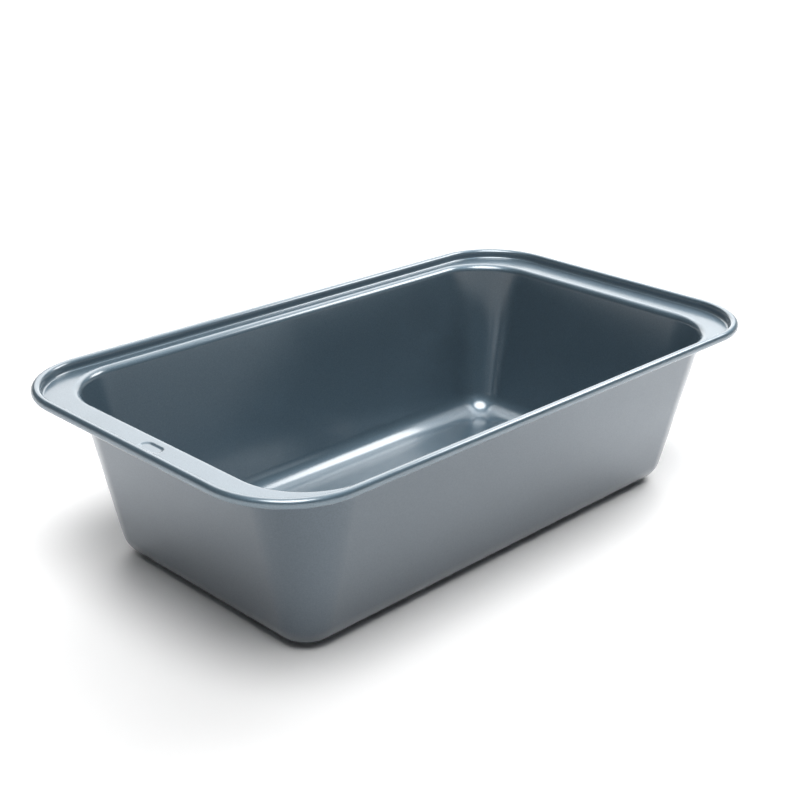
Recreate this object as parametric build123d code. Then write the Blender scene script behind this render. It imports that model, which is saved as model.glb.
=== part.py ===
from build123d import *

import math
import os

# A loaf pan pressed from one sheet of carbon steel, rolled round a wire at its rim and coated on both
# faces. Millimetres, +Z up, length along X. The origin is at the middle of the floor's underside.

# Sheet and coats
SHEET = 0.6  # steel thickness
COAT = 0.1  # thickness of each coat

# Tub: at every height its outline is a rectangle with rounded corners, and the corners of all heights
# share four upright axes, so walls and corners lean out by the same angle.
AXIS_X = 89.5  # corner axis to the middle plane, along the length
AXIS_Y = 40.5  # corner axis to the middle plane, along the width
DRAFT = 12.3  # lean of the walls from upright, degrees
FOOT_RADIUS = 11.2  # outer corner radius where the walls' line meets the underside
FLOOR_BEND = 12.0  # bend between floor and walls, at the outer face
LIP_BEND = 3.1  # bend between walls and flange, at the inner face

# Rim: the sheet runs out flat as a flange, turns up, and rolls outwards round a wire
RIM_X = 129.0  # wire centre to the middle plane, along the length
RIM_Y = 72.9  # wire centre to the middle plane, along the width
RIM_RADIUS = 29.5  # corner radius of the wire's centre line
RIM_HEIGHT = 68.25  # wire centre above the underside
FLANGE_DROP = 2.0  # top of the flange below the wire's centre
UPSTAND_BEND = 1.0  # bend between flange and upstand, at the inner face
WIRE_RADIUS = 1.0
WIRE_CLEARANCE = 0.05  # between the wire and the roll
WIRE_GAP = 0.8  # between the wire's two ends, at the middle of the rear long side
ROLL_ANGLE = 285.0  # how far round the wire the sheet is rolled, degrees

# Plain oval pressed into the flange of the left end
OVAL_LENGTH = 9.5
OVAL_WIDTH = 4.6
OVAL_DEPTH = 0.45
OVAL_X = -121.3  # middle of the oval
OVAL_Y = -2.9

# The four faces of the build-up, as depths below the steel's inner face
COAT_TOP = -COAT
STEEL_TOP = 0.0
STEEL_BOTTOM = SHEET
COAT_BOTTOM = SHEET + COAT

FLANGE_Z = RIM_HEIGHT - FLANGE_DROP - COAT  # steel's upper face on the flange
ROLL_RADIUS = WIRE_RADIUS + WIRE_CLEARANCE + SHEET  # steel's outer face on the roll
UPSTAND_CENTRE = -(ROLL_RADIUS + COAT + UPSTAND_BEND)  # upstand bend's centre, out from the wire
SLOPE = math.radians(DRAFT)


def polar(centre, radius, angle):
    """A point on a circle, with the angle in degrees."""
    turn = math.radians(angle)
    return (centre[0] + radius * math.cos(turn), centre[1] + radius * math.sin(turn))


def arc(centre, radius, start, end):
    """A circular arc in the section plane from one angle to another."""
    points = [polar(centre, radius, angle) for angle in (start, (start + end) / 2, end)]
    return ThreePointArc(*points)


def wall_radius(depth, height):
    """Distance from the corner axis to a wall face at a height, for a face at a depth."""
    outer = FOOT_RADIUS + height * math.tan(SLOPE)
    return outer - (COAT_BOTTOM - depth) / math.cos(SLOPE)


def floor_height(depth):
    """Height of a face of the floor."""
    return COAT_BOTTOM - depth


def lip_radius():
    """Distance from the corner axis to where the lip's bend starts on the flange."""
    half_turn = math.radians(90 - DRAFT) / 2
    return wall_radius(COAT_TOP, FLANGE_Z - COAT_TOP) + LIP_BEND * math.tan(half_turn)


def tub_bends(depth):
    """Centres and radii of a tub face's two bends in section: at the floor and at the lip."""
    half_turn = math.radians(90 - DRAFT) / 2
    low = (FOOT_RADIUS - FLOOR_BEND * math.tan(half_turn), FLOOR_BEND)
    high = (lip_radius(), FLANGE_Z - COAT_TOP - LIP_BEND)
    return low, FLOOR_BEND - (COAT_BOTTOM - depth), high, LIP_BEND - (depth - COAT_TOP)


def tub_section(upper, lower):
    """Closed section of the tub between two faces, with r from the corner axis along X and z along Y."""
    edges = []
    for depth in (upper, lower):
        low, low_radius, high, high_radius = tub_bends(depth)
        wall = (polar(low, low_radius, -DRAFT), polar(high, high_radius, 180 - DRAFT))
        edges.append(Line((0, floor_height(depth)), (low[0], floor_height(depth))))
        edges.append(arc(low, low_radius, -90, -DRAFT))
        edges.append(Line(*wall))
        edges.append(arc(high, high_radius, 180 - DRAFT, 90))
    edges.append(Line((0, floor_height(upper)), (0, floor_height(lower))))
    lip = lip_radius()
    edges.append(Line((lip, FLANGE_Z - upper), (lip, FLANGE_Z - lower)))
    return make_face(edges)


def rim_section(upper, lower, roll):
    """Closed section of the upstand, and of the roll when asked, with the wire's centre at the origin."""
    bend = (UPSTAND_CENTRE, UPSTAND_BEND - FLANGE_DROP)
    radii = [UPSTAND_BEND + depth + COAT for depth in (upper, lower)]
    edges = [arc(bend, radius, -90, 0) for radius in radii]
    flange_ends = [polar(bend, radius, -90) for radius in radii]
    upstand_ends = [polar(bend, radius, 0) for radius in radii]
    edges.append(Line(*flange_ends))
    if roll:
        centre = (0, 0)
        rolls = [ROLL_RADIUS - depth for depth in (upper, lower)]
        for radius, start in zip(rolls, upstand_ends):
            edges.append(Line(start, polar(centre, radius, 180)))
            edges.append(arc(centre, radius, 180, 180 - ROLL_ANGLE))
        edges.append(Line(*[polar(centre, radius, 180 - ROLL_ANGLE) for radius in rolls]))
    else:
        edges.append(Line(*upstand_ends))
    return make_face(edges)


def upright(section, x, y, turn, offset=(0, 0)):
    """Stand a section on a vertical plane at a point, facing out at an angle about Z."""
    turn = math.radians(turn)
    out = (math.cos(turn), math.sin(turn), 0)
    side = (math.sin(turn), -math.cos(turn), 0)
    plane = Plane(origin=(x, y, 0), x_dir=out, z_dir=side)
    return plane * Pos(offset[0], offset[1]) * section


def carry_round(section, half_x, half_y, offset=(0, 0)):
    """Carry a section round a rounded rectangle: four turned corners and four straight sides."""
    corners = ((1, 1, 0), (-1, 1, 90), (-1, -1, 180), (1, -1, 270))
    pieces = []
    for sign_x, sign_y, turn in corners:
        x, y = sign_x * half_x, sign_y * half_y
        face = upright(section, x, y, turn, offset)
        pieces.append(revolve(face, Axis((x, y, 0), (0, 0, 1)), 90))
        length = 2 * (half_y if turn in (0, 180) else half_x)
        back = (math.sin(math.radians(turn)), -math.cos(math.radians(turn)), 0)
        pieces.append(extrude(face, length, dir=back))
    return pieces


def rounded_plate(half_x, half_y, radius, top, bottom):
    """A flat plate with rounded corners between two heights."""
    outline = RectangleRounded(2 * half_x, 2 * half_y, radius)
    return Pos(0, 0, bottom) * extrude(outline, top - bottom)


def oval(grow, top):
    """The pressed oval's prism, grown all round, below a height on the left end's flange."""
    outline = SlotOverall(OVAL_LENGTH + 2 * grow, OVAL_WIDTH + 2 * grow, rotation=90)
    return Pos(OVAL_X, OVAL_Y, top - OVAL_DEPTH) * extrude(outline, OVAL_DEPTH)


def layer(upper, lower, roll):
    """One layer of the sheet, between two depths: floor, walls, flange, upstand and roll."""
    pieces = carry_round(tub_section(upper, lower), AXIS_X, AXIS_Y)
    top, bottom = floor_height(upper), floor_height(lower)
    pieces.append(Pos(0, 0, bottom) * extrude(Rectangle(2 * AXIS_X, 2 * AXIS_Y), top - bottom))

    lip = lip_radius()
    reach = RIM_RADIUS + UPSTAND_CENTRE
    rim_axis_x, rim_axis_y = RIM_X - RIM_RADIUS, RIM_Y - RIM_RADIUS
    top, bottom = FLANGE_Z - upper, FLANGE_Z - lower
    flange = rounded_plate(rim_axis_x + reach, rim_axis_y + reach, reach, top, bottom)
    flange -= rounded_plate(AXIS_X + lip, AXIS_Y + lip, lip, top, bottom)
    flange += oval(lower, bottom)
    flange -= oval(upper, top)
    pieces.append(flange)

    section = rim_section(upper, lower, roll)
    pieces += carry_round(section, rim_axis_x, rim_axis_y, (RIM_RADIUS, RIM_HEIGHT))
    return Part() + pieces


def pan_shell():
    """The steel sheet."""
    return layer(STEEL_TOP, STEEL_BOTTOM, True)


def nonstick_coating():
    """The dark coat on the inside, the flange and round the roll."""
    return layer(COAT_TOP, STEEL_TOP, True)


def outer_coating():
    """The grey coat on the outside, from the underside of the floor to the top of the upstand's bend."""
    return layer(STEEL_BOTTOM, COAT_BOTTOM, False)


def rim_wire():
    """The wire inside the roll, with its two ends just apart behind the rear long side."""
    rim_axis_x, rim_axis_y = RIM_X - RIM_RADIUS, RIM_Y - RIM_RADIUS
    pieces = carry_round(Circle(WIRE_RADIUS), rim_axis_x, rim_axis_y, (RIM_RADIUS, RIM_HEIGHT))
    gap = Pos(0, RIM_Y, RIM_HEIGHT) * Box(WIRE_GAP, 4 * WIRE_RADIUS, 4 * WIRE_RADIUS)
    return Part() + pieces - gap


def main():
    os.makedirs("parts", exist_ok=True)
    nodes = {
        "pan_shell": pan_shell(),
        "rim_wire": rim_wire(),
        "nonstick_coating": nonstick_coating(),
        "outer_coating": outer_coating(),
    }
    for name, shape in nodes.items():
        export_step(shape, f"parts/{name}.step")
        size = shape.bounding_box().size
        solids = len(shape.solids())
        print(f"{name}: {solids} solid, {size.X:.2f} x {size.Y:.2f} x {size.Z:.2f} mm")


main()
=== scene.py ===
import math

import bpy
from mathutils import Matrix, Vector


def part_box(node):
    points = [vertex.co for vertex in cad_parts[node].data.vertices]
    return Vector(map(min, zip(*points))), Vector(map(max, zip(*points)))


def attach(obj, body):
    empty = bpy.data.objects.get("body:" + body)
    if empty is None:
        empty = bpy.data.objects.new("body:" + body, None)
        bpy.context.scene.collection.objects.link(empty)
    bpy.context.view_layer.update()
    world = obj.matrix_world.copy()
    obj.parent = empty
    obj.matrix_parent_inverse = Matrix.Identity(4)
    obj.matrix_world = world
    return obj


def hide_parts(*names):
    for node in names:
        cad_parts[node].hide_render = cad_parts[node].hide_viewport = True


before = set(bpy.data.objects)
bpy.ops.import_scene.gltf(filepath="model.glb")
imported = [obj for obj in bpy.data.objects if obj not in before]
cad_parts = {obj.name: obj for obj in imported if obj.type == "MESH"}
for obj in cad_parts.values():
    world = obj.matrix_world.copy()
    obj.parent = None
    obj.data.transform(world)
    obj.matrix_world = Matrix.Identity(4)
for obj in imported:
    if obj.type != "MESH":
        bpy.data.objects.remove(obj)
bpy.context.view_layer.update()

# ---------------------------------------------------------------- sizes, in metres
MM = 0.001
_, high_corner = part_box("nonstick_coating")

SHEET = 0.6 * MM
COAT = 0.1 * MM
COAT_TOP = -COAT  # depths of the four faces below the steel's inner face
STEEL_TOP = 0.0
STEEL_BOTTOM = SHEET
COAT_BOTTOM = SHEET + COAT

AXIS_X = 89.5 * MM  # upright axes of the tub's rounded corners
AXIS_Y = 40.5 * MM
DRAFT = math.radians(12.3)  # lean of the walls
FOOT_RADIUS = 11.2 * MM
FLOOR_BEND = 12.0 * MM
LIP_BEND = 3.1 * MM

WIRE_RADIUS = 1.0 * MM
WIRE_GAP = 0.8 * MM
ROLL_RADIUS = 1.65 * MM  # steel's outer face round the wire
ROLL_ANGLE = math.radians(285)  # how far the sheet goes round the wire
RIM_X = high_corner.x - ROLL_RADIUS - COAT  # wire's centre line
RIM_Y = high_corner.y - ROLL_RADIUS - COAT
RIM_HEIGHT = high_corner.z - ROLL_RADIUS - COAT
RIM_RADIUS = 29.5 * MM
FLANGE_DROP = 2.0 * MM  # top of the flange below the wire's centre
FLANGE_Z = RIM_HEIGHT - FLANGE_DROP - COAT  # steel's upper face on the flange
UPSTAND_BEND = 1.0 * MM
UPSTAND_CENTRE = -(ROLL_RADIUS + COAT + UPSTAND_BEND)

OVAL_LENGTH = 9.5 * MM  # plain oval pressed into the left end's flange
OVAL_WIDTH = 4.6 * MM
OVAL_DEPTH = 0.45 * MM
OVAL_X = -121.3 * MM
OVAL_Y = -2.9 * MM
OVAL_SOFTNESS = 0.8 * MM  # half the width of its sloping edge

# ---------------------------------------------------------------- fineness of the meshes
FLOOR_BEND_STEPS = 16  # rows of a section
WALL_STEPS = 14
LIP_STEPS = 12
FLANGE_STEPS = 30
UPSTAND_STEPS = 8
ROLL_STEPS = 40
CORNER_STEPS = 24  # columns round the pan
LENGTH_STEPS = 28
OVAL_STEPS = 64  # fine columns through the pressed oval
OVAL_REACH = 0.24  # part of the end's half-width that they cover
COARSE_STEPS = 6  # columns on each side of them, further and further apart
COARSE_GROWTH = 1.3
WIRE_SIDES = 24


# ---------------------------------------------------------------- sections
def bend(centre, radius, start, end, steps, skip_first=True):
    """Stations round an arc: place in the section, and the direction from the arc's centre."""
    stations = []
    for step in range(1 if skip_first else 0, steps + 1):
        turn = start + (end - start) * step / steps
        out, up = math.cos(turn), math.sin(turn)
        stations.append((centre[0] + radius * out, centre[1] + radius * up, out, up))
    return stations


def wall_radius(depth, height):
    """Distance from the corner axis to a wall face at a height."""
    outer = FOOT_RADIUS + height * math.tan(DRAFT)
    return outer - (COAT_BOTTOM - depth) / math.cos(DRAFT)


def lip_radius():
    """Distance from the corner axis to where the lip's bend meets the flange."""
    reach = LIP_BEND * math.tan((math.pi / 2 - DRAFT) / 2)
    return wall_radius(COAT_TOP, FLANGE_Z + COAT) + reach


def tub_stations(depth):
    """Floor, floor bend, wall and lip of one face: (radius from the corner axis, height, normal)."""
    half_turn = (math.pi / 2 - DRAFT) / 2
    low = (FOOT_RADIUS - FLOOR_BEND * math.tan(half_turn), FLOOR_BEND)
    low_radius = FLOOR_BEND - (COAT_BOTTOM - depth)
    high = (lip_radius(), FLANGE_Z + COAT - LIP_BEND)
    high_radius = LIP_BEND - (depth - COAT_TOP)
    stations = []
    for share in (0.5, 1.0):
        stations.append((low[0] * share, COAT_BOTTOM - depth, 0.0, 1.0))
    for r, z, out, up in bend(low, low_radius, -math.pi / 2, -DRAFT, FLOOR_BEND_STEPS):
        stations.append((r, z, -out, -up))
    lip = bend(high, high_radius, math.pi - DRAFT, math.pi / 2, LIP_STEPS, skip_first=False)
    start, end = stations[-1], lip[0]
    for step in range(1, WALL_STEPS):
        share = step / WALL_STEPS
        r = start[0] + (end[0] - start[0]) * share
        z = start[1] + (end[1] - start[1]) * share
        stations.append((r, z, end[2], end[3]))
    return stations + lip


def rim_stations(depth, rolled):
    """Upstand and roll of one face, measured from the wire's centre line."""
    centre = (UPSTAND_CENTRE, FLANGE_Z + COAT + UPSTAND_BEND - RIM_HEIGHT)
    radius = UPSTAND_BEND + depth + COAT
    stations = []
    for r, z, out, up in bend(centre, radius, -math.pi / 2, 0.0, UPSTAND_STEPS, skip_first=False):
        stations.append((r, z, -out, -up))
    if rolled:
        roll_end = math.pi - ROLL_ANGLE
        stations += bend((0.0, 0.0), ROLL_RADIUS - depth, math.pi, roll_end, ROLL_STEPS, skip_first=False)
    return stations


# ---------------------------------------------------------------- outlines
def side_shares():
    """Where the lengthwise and crosswise columns stand, from -1 to 1 along a straight side."""
    along = [2 * step / LENGTH_STEPS - 1 for step in range(LENGTH_STEPS + 1)]
    fine = [OVAL_REACH * (2 * step / OVAL_STEPS - 1) for step in range(OVAL_STEPS + 1)]
    coarse = []
    for step in range(1, COARSE_STEPS + 1):
        coarse.append(OVAL_REACH + (1 - OVAL_REACH) * (step / COARSE_STEPS) ** COARSE_GROWTH)
    across = [-share for share in reversed(coarse)] + fine + coarse
    return along, across


def columns():
    """Columns round the pan, anticlockwise: share of the corner axes, and the outward direction."""
    along, across = side_shares()
    found = []

    def corner(share_x, share_y, start):
        for step in range(1, CORNER_STEPS):
            turn = math.radians(start) + math.pi / 2 * step / CORNER_STEPS
            found.append((share_x, share_y, math.cos(turn), math.sin(turn)))

    found += [(1.0, share, 1.0, 0.0) for share in across]
    corner(1.0, 1.0, 0)
    found += [(share, 1.0, 0.0, 1.0) for share in reversed(along)]
    corner(-1.0, 1.0, 90)
    found += [(-1.0, share, -1.0, 0.0) for share in reversed(across)]
    corner(-1.0, -1.0, 180)
    found += [(share, -1.0, 0.0, -1.0) for share in along]
    corner(1.0, -1.0, 270)
    return found


COLUMNS = columns()


def oval_drop(x, y, depth):
    """How far the pressed oval sinks a face at a point."""
    straight = (OVAL_LENGTH - OVAL_WIDTH) / 2
    beyond = max(abs(y - OVAL_Y) - straight, 0.0)
    edge = math.hypot(x - OVAL_X, beyond) - OVAL_WIDTH / 2 - depth
    share = min(max((OVAL_SOFTNESS - edge) / (2 * OVAL_SOFTNESS), 0.0), 1.0)
    return OVAL_DEPTH * share * share * (3 - 2 * share)


def flange_rows(inner, outer, depth):
    """Rows across the flat flange, sunk where the oval is pressed in."""
    probe = 0.02 * MM  # how far apart two heights are taken for the slope
    rows = []
    for step in range(1, FLANGE_STEPS):
        row = []
        for (start, _), (end, _) in zip(inner, outer):
            point = start.lerp(end, step / FLANGE_STEPS)
            drop = oval_drop(point.x, point.y, depth)
            slope_x = (oval_drop(point.x + probe, point.y, depth) - drop) / probe
            slope_y = (oval_drop(point.x, point.y + probe, depth) - drop) / probe
            point.z -= drop
            row.append((point, Vector((slope_x, slope_y, 1.0)).normalized()))
        rows.append(row)
    return rows


def face_rows(depth, rolled):
    """All rows of one face, as (point, normal) for each column, from the floor out to the roll."""
    rows = []
    for r, z, out, up in tub_stations(depth):
        row = []
        for share_x, share_y, side_x, side_y in COLUMNS:
            point = Vector((share_x * AXIS_X + r * side_x, share_y * AXIS_Y + r * side_y, z))
            row.append((point, Vector((out * side_x, out * side_y, up))))
        rows.append(row)
    rim = []
    axis_x, axis_y = RIM_X - RIM_RADIUS, RIM_Y - RIM_RADIUS
    for r, z, out, up in rim_stations(depth, rolled):
        row = []
        for share_x, share_y, side_x, side_y in COLUMNS:
            reach = RIM_RADIUS + r
            x = share_x * axis_x + reach * side_x
            y = share_y * axis_y + reach * side_y
            point = Vector((x, y, RIM_HEIGHT + z))
            row.append((point, Vector((out * side_x, out * side_y, up))))
        rim.append(row)
    return rows + flange_rows(rows[-1], rim[0], depth) + rim


# ---------------------------------------------------------------- meshes
def new_piece(name, points, faces, normals):
    """A mesh object with smooth faces that keep the normals worked out for each corner of a face."""
    mesh = bpy.data.meshes.new(name)
    mesh.from_pydata(points, [], faces)
    mesh.validate()
    for polygon in mesh.polygons:
        polygon.use_smooth = True
    mesh.normals_split_custom_set(normals)
    piece = bpy.data.objects.new(name, mesh)
    bpy.context.scene.collection.objects.link(piece)
    return piece


def add_face_side(points, faces, normals, rows, height, upward):
    """One face of a layer: the floor's grid inside the corner axes, then row after row outwards.

    Gives back the last row's points, where the layer's edge starts.
    """
    along, across = side_shares()
    first, stride = len(points), len(along)
    flat = Vector((0, 0, 1 if upward else -1))
    for share_y in across:
        for share_x in along:
            points.append(Vector((share_x * AXIS_X, share_y * AXIS_Y, height)))

    def add(corners, corner_normals):
        if not upward:
            corners, corner_normals = corners[::-1], corner_normals[::-1]
        faces.append(corners)
        normals.extend(corner_normals)

    for line in range(len(across) - 1):
        for column in range(stride - 1):
            here = first + line * stride + column
            add([here, here + 1, here + 1 + stride, here + stride], [flat] * 4)

    ring_before = []
    for share_x, share_y, _, _ in COLUMNS:
        ring_before.append(first + across.index(share_y) * stride + along.index(share_x))
    normals_before = [flat] * len(COLUMNS)
    for row in rows:
        ring = list(range(len(points), len(points) + len(row)))
        points.extend(point for point, _ in row)
        ring_normals = [normal if upward else -normal for _, normal in row]
        for here in range(len(COLUMNS)):
            there = (here + 1) % len(COLUMNS)
            corners = [ring_before[here], ring[here], ring[there], ring_before[there]]
            shades = [normals_before[here], ring_normals[here]]
            shades += [ring_normals[there], normals_before[there]]
            if corners[0] == corners[3]:
                corners, shades = corners[:3], shades[:3]
            add(corners, shades)
        ring_before, normals_before = ring, ring_normals
    return ring_before


def layer(name, upper, lower, rolled):
    """A closed layer of the sheet between two depths."""
    points, faces, normals = [], [], []
    ends = []
    for depth, upward in ((upper, True), (lower, False)):
        rows = face_rows(depth, rolled)
        ends.append(add_face_side(points, faces, normals, rows, COAT_BOTTOM - depth, upward))
    upper_end, lower_end = ends
    for here in range(len(COLUMNS)):
        there = (here + 1) % len(COLUMNS)
        corners = [upper_end[here], lower_end[here], lower_end[there], upper_end[there]]
        faces.append(corners)
        across = points[corners[2]] - points[corners[0]]
        normal = across.cross(points[corners[3]] - points[corners[1]]).normalized()
        normals.extend([normal] * 4)
    return new_piece(name, points, faces, normals)


def wire(name):
    """The rim's wire, from one end to the other round the pan, with its ends just apart at the rear."""
    axis_x, axis_y = RIM_X - RIM_RADIUS, RIM_Y - RIM_RADIUS
    rearward = Vector((0, 1, 0))
    route = [(Vector((-WIRE_GAP / 2, RIM_Y, RIM_HEIGHT)), rearward)]
    for corner_x, corner_y, first in ((-1, 1, 90), (-1, -1, 180), (1, -1, 270), (1, 1, 0)):
        for step in range(CORNER_STEPS + 1):
            turn = math.radians(first + 90 * step / CORNER_STEPS)
            out = Vector((math.cos(turn), math.sin(turn), 0))
            centre = Vector((corner_x * axis_x, corner_y * axis_y, RIM_HEIGHT))
            route.append((centre + out * RIM_RADIUS, out))
    route.append((Vector((WIRE_GAP / 2, RIM_Y, RIM_HEIGHT)), rearward))
    points, faces, normals = [], [], []
    spokes = []
    for place, out in route:
        for side in range(WIRE_SIDES):
            turn = 2 * math.pi * side / WIRE_SIDES
            spoke = out * math.cos(turn) + Vector((0, 0, 1)) * math.sin(turn)
            spokes.append(spoke)
            points.append(place + spoke * WIRE_RADIUS)
    for stop in range(len(route) - 1):
        for side in range(WIRE_SIDES):
            after = (side + 1) % WIRE_SIDES
            here, there = stop * WIRE_SIDES, (stop + 1) * WIRE_SIDES
            corners = [here + side, here + after, there + after, there + side]
            faces.append(corners)
            normals.extend(spokes[corner] for corner in corners)
    last = (len(route) - 1) * WIRE_SIDES
    faces.append(list(range(WIRE_SIDES))[::-1])
    normals.extend([Vector((1, 0, 0))] * WIRE_SIDES)
    faces.append(list(range(last, last + WIRE_SIDES)))
    normals.extend([Vector((-1, 0, 0))] * WIRE_SIDES)
    return new_piece(name, points, faces, normals)


# ---------------------------------------------------------------- materials
def new_material(name):
    """A material, its node tree and its shader."""
    material = bpy.data.materials.new(name)
    material.use_nodes = True
    tree = material.node_tree
    return material, tree, tree.nodes["Principled BSDF"]


def noise(tree, scale, detail=2.0, roughness=0.5, stretch=None):
    """Noise in object space; stretch scales its axes."""
    place = tree.nodes.new("ShaderNodeTexCoord")
    texture = tree.nodes.new("ShaderNodeTexNoise")
    texture.inputs["Scale"].default_value = scale
    texture.inputs["Detail"].default_value = detail
    texture.inputs["Roughness"].default_value = roughness
    source = place.outputs["Object"]
    if stretch:
        mapping = tree.nodes.new("ShaderNodeMapping")
        mapping.inputs["Scale"].default_value = stretch
        tree.links.new(source, mapping.inputs["Vector"])
        source = mapping.outputs["Vector"]
    tree.links.new(source, texture.inputs["Vector"])
    return texture.outputs["Fac"]


def spread(tree, source, low, high, start=0.3, end=0.7):
    """Map a value from start..end to low..high."""
    node = tree.nodes.new("ShaderNodeMapRange")
    for socket, value in zip(("From Min", "From Max", "To Min", "To Max"), (start, end, low, high)):
        node.inputs[socket].default_value = value
    tree.links.new(source, node.inputs["Value"])
    return node.outputs["Result"]


def tint(tree, source, first, second):
    """Mix two colours by a value."""
    node = tree.nodes.new("ShaderNodeMix")
    node.data_type = "RGBA"
    node.inputs["A"].default_value = (*first, 1)
    node.inputs["B"].default_value = (*second, 1)
    tree.links.new(source, node.inputs["Factor"])
    return node.outputs["Result"]


def bump(tree, shader, source, distance, strength):
    """Tilt the shader's normal by a height."""
    node = tree.nodes.new("ShaderNodeBump")
    node.inputs["Distance"].default_value = distance
    node.inputs["Strength"].default_value = strength
    tree.links.new(source, node.inputs["Height"])
    tree.links.new(node.outputs["Normal"], shader.inputs["Normal"])


def coat_material(name, tints, flake, clouds, roughness, metallic, gloss, gloss_ior, peel, peel_strength):
    """Metallic flake under a clear gloss with a trace of orange peel.

    flake, clouds and peel are noise scales; gloss is the roughness of the clear gloss.
    """
    material, tree, shader = new_material(name)
    colour = tint(tree, spread(tree, noise(tree, flake, detail=1.0), 0, 1), *tints)
    tree.links.new(colour, shader.inputs["Base Color"])
    cloud = spread(tree, noise(tree, clouds, detail=4.0, roughness=0.6), *roughness)
    tree.links.new(cloud, shader.inputs["Roughness"])
    shader.inputs["Metallic"].default_value = metallic
    shader.inputs["Coat Weight"].default_value = 1.0
    shader.inputs["Coat Roughness"].default_value = gloss
    shader.inputs["Coat IOR"].default_value = gloss_ior
    bump(tree, shader, noise(tree, peel), distance=0.02 * MM, strength=peel_strength)
    return material


def nonstick_material():
    """Slate-blue baking surface."""
    return coat_material(
        "nonstick_coat",
        tints=((0.105, 0.160, 0.204), (0.129, 0.192, 0.240)),
        flake=2600,
        clouds=60,
        roughness=(0.53, 0.60),
        metallic=0.8,
        gloss=0.17,
        gloss_ior=1.95,
        peel=900,
        peel_strength=0.25,
    )


def outer_material():
    """Silver-grey outside."""
    return coat_material(
        "outer_coat",
        tints=((0.092, 0.115, 0.138), (0.108, 0.134, 0.160)),
        flake=2200,
        clouds=45,
        roughness=(0.30, 0.36),
        metallic=1.0,
        gloss=0.2,
        gloss_ior=1.45,
        peel=800,
        peel_strength=0.2,
    )


def steel_material(name, light, dark, roughness, stretch):
    """Bare steel with fine drawn lines."""
    material, tree, shader = new_material(name)
    lines = spread(tree, noise(tree, 900, detail=3.0, roughness=0.6, stretch=stretch), 0, 1)
    tree.links.new(tint(tree, lines, dark, light), shader.inputs["Base Color"])
    tree.links.new(spread(tree, lines, roughness, roughness + 0.12, 0, 1), shader.inputs["Roughness"])
    shader.inputs["Metallic"].default_value = 1.0
    bump(tree, shader, lines, distance=0.01 * MM, strength=0.4)
    return material


def stage_material():
    """Matt white paper."""
    material, _, shader = new_material("stage_paper")
    shader.inputs["Base Color"].default_value = (0.9, 0.9, 0.9, 1)
    shader.inputs["Roughness"].default_value = 0.9
    shader.inputs["Specular IOR Level"].default_value = 0.1
    return material


def finish_piece(piece, node, material):
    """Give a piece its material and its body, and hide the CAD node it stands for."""
    piece.data.materials.append(material)
    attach(piece, "root")
    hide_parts(node)


# ---------------------------------------------------------------- the pan
nonstick = layer("nonstick_coat_inside", COAT_TOP, STEEL_TOP, True)
finish_piece(nonstick, "nonstick_coating", nonstick_material())

outer = layer("outer_coat_walls", STEEL_BOTTOM, COAT_BOTTOM, False)
finish_piece(outer, "outer_coating", outer_material())

shell = layer("steel_sheet", STEEL_TOP, STEEL_BOTTOM, True)
steel = steel_material(
    "sheet_steel", light=(0.62, 0.62, 0.62), dark=(0.42, 0.42, 0.43), roughness=0.3, stretch=(1, 1, 12)
)
finish_piece(shell, "pan_shell", steel)

rim_wire = wire("steel_rim_wire")
drawn = steel_material(
    "rim_wire_steel", light=(0.50, 0.50, 0.50), dark=(0.33, 0.33, 0.34), roughness=0.38, stretch=(0.2, 0.2, 6)
)
finish_piece(rim_wire, "rim_wire", drawn)


# ---------------------------------------------------------------- stage, lights and camera
# azimuth, elevation, half angle and softness of the edge in degrees, and brightness
SOFT_LIGHTS = (
    (-38, 71, 18, 6, 9.2),
    (135, 25, 23, 4, 2.2),
    (125, 55, 24, 10, 1.6),
)
BACKDROP_TOP = 9  # elevation where the pale backdrop ends, in degrees
BACKDROP_EDGE = 3  # half the width of its fade, in degrees
BACKDROP_GLOW = 0.75
ROOM_GLOW = 0.02  # faint light from everywhere above the backdrop

KEY_DIRECTION = (78, 45)  # azimuth and elevation of the near softbox, in degrees
KEY_DISTANCE = 0.7
KEY_DIAMETER = 0.28
KEY_BRIGHTNESS = 8.0

PAPER_HALF_SIZE = 6.0
PAPER_GAP = 0.1 * MM  # between the paper and the pan

CAMERA_DIRECTION = (-45.88, 22.37)
CAMERA_ROLL = math.radians(1.13)
CAMERA_DISTANCE = 0.480
CAMERA_AIM = Vector((-0.0386, -0.0325, RIM_HEIGHT))
CAMERA_LENS = 62.96  # in millimetres, on a sensor 36 mm wide


def stage_floor():
    """A sheet of paper under the pan, far larger than the view."""
    corners = []
    for side_x, side_y in ((-1, -1), (1, -1), (1, 1), (-1, 1)):
        corners.append((side_x * PAPER_HALF_SIZE, side_y * PAPER_HALF_SIZE, -PAPER_GAP))
    mesh = bpy.data.meshes.new("stage_floor")
    mesh.from_pydata(corners, [], [(0, 1, 2, 3)])
    floor = bpy.data.objects.new("stage_floor", mesh)
    bpy.context.scene.collection.objects.link(floor)
    mesh.materials.append(stage_material())


def direction(azimuth, elevation):
    """Unit vector towards a point of the studio; azimuth 0 is behind a camera that looks along +Y."""
    azimuth, elevation = math.radians(azimuth), math.radians(elevation)
    level = math.cos(elevation)
    return Vector((math.sin(azimuth) * level, -math.cos(azimuth) * level, math.sin(elevation)))


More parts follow.
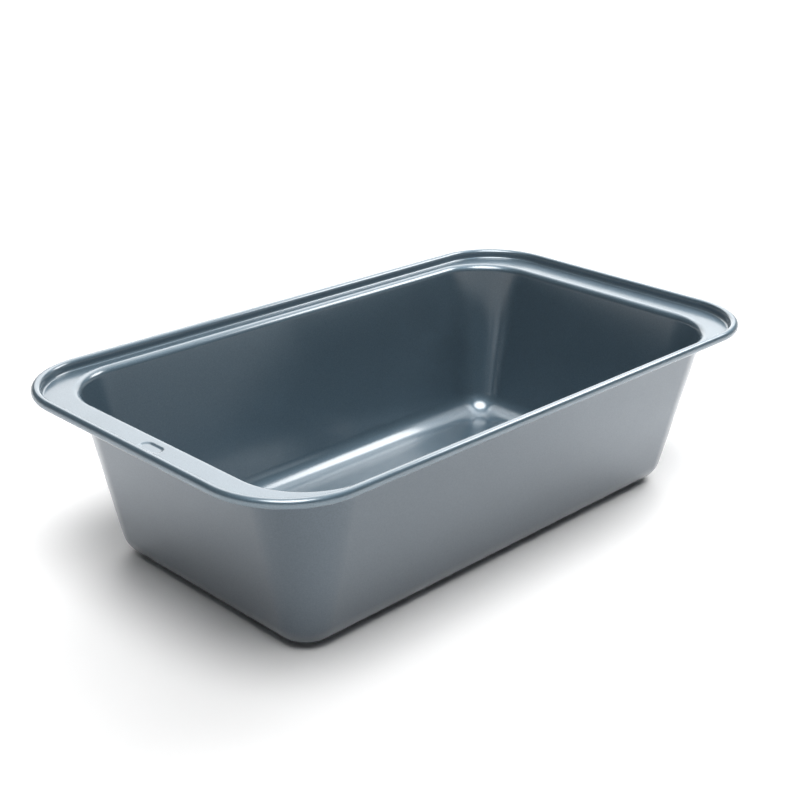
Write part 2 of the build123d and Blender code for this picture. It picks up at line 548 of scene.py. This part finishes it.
def soft_light(tree, azimuth, elevation, half_angle, softness, brightness):
    """Brightness of a distant round softbox, fading out over its edge."""
    place = tree.nodes.new("ShaderNodeTexCoord")
    facing = tree.nodes.new("ShaderNodeVectorMath")
    facing.operation = "DOT_PRODUCT"
    facing.inputs[1].default_value = direction(azimuth, elevation)
    tree.links.new(place.outputs["Generated"], facing.inputs[0])
    edge = tree.nodes.new("ShaderNodeMapRange")
    edge.interpolation_type = "SMOOTHSTEP"
    edge.inputs["From Min"].default_value = math.cos(math.radians(half_angle + softness))
    edge.inputs["From Max"].default_value = math.cos(math.radians(max(half_angle - softness, 0)))
    edge.inputs["To Max"].default_value = brightness
    tree.links.new(facing.outputs["Value"], edge.inputs["Value"])
    return edge.outputs["Result"]


def horizon_glow(tree):
    """Pale backdrop low down all round, fading to the room's faint glow higher up."""
    place = tree.nodes.new("ShaderNodeTexCoord")
    split = tree.nodes.new("ShaderNodeSeparateXYZ")
    tree.links.new(place.outputs["Generated"], split.inputs["Vector"])
    edge = tree.nodes.new("ShaderNodeMapRange")
    edge.interpolation_type = "SMOOTHSTEP"
    edge.inputs["From Min"].default_value = math.sin(math.radians(BACKDROP_TOP - BACKDROP_EDGE))
    edge.inputs["From Max"].default_value = math.sin(math.radians(BACKDROP_TOP + BACKDROP_EDGE))
    edge.inputs["To Min"].default_value = BACKDROP_GLOW
    edge.inputs["To Max"].default_value = ROOM_GLOW
    tree.links.new(split.outputs["Z"], edge.inputs["Value"])
    return edge.outputs["Result"]


def studio_lights():
    """Distant soft lights, overhead and behind, above the pale backdrop."""
    world = bpy.data.worlds.new("studio")
    world.use_nodes = True
    tree = world.node_tree
    total = horizon_glow(tree)
    for light in SOFT_LIGHTS:
        add = tree.nodes.new("ShaderNodeMath")
        tree.links.new(total, add.inputs[0])
        tree.links.new(soft_light(tree, *light), add.inputs[1])
        total = add.outputs["Value"]
    sky = tree.nodes["Background"]
    sky.inputs["Color"].default_value = (1, 1, 1, 1)
    tree.links.new(total, sky.inputs["Strength"])
    bpy.context.scene.world = world


def key_softbox():
    """A near round softbox on the right, which lights the paper on its own side more."""
    area = math.pi * (KEY_DIAMETER / 2) ** 2
    data = bpy.data.lights.new("key_softbox", "AREA")
    data.shape = "DISK"
    data.size = KEY_DIAMETER
    data.energy = KEY_BRIGHTNESS * math.pi * area
    lamp = bpy.data.objects.new("key_softbox", data)
    outward = direction(*KEY_DIRECTION)
    facing = outward.to_track_quat("Z", "Y").to_matrix().to_4x4()
    lamp.matrix_world = Matrix.Translation(outward * KEY_DISTANCE) @ facing
    bpy.context.scene.collection.objects.link(lamp)


def studio_camera():
    """A camera that looks down on the left front corner, with a slight roll."""
    back = direction(*CAMERA_DIRECTION)
    right = (-back).cross(Vector((0, 0, 1))).normalized()
    up = right.cross(-back)
    tilted_right = right * math.cos(CAMERA_ROLL) + up * math.sin(CAMERA_ROLL)
    tilted_up = up * math.cos(CAMERA_ROLL) - right * math.sin(CAMERA_ROLL)
    data = bpy.data.cameras.new("camera")
    data.sensor_width = 36
    data.lens = CAMERA_LENS
    data.clip_start = 0.01
    camera = bpy.data.objects.new("camera", data)
    turn = Matrix((tilted_right, tilted_up, back)).transposed()
    camera.matrix_world = Matrix.Translation(CAMERA_AIM + back * CAMERA_DISTANCE) @ turn.to_4x4()
    bpy.context.scene.collection.objects.link(camera)
    bpy.context.scene.camera = camera


stage_floor()
studio_lights()
key_softbox()
studio_camera()
bpy.context.scene.view_settings.view_transform = "Standard"
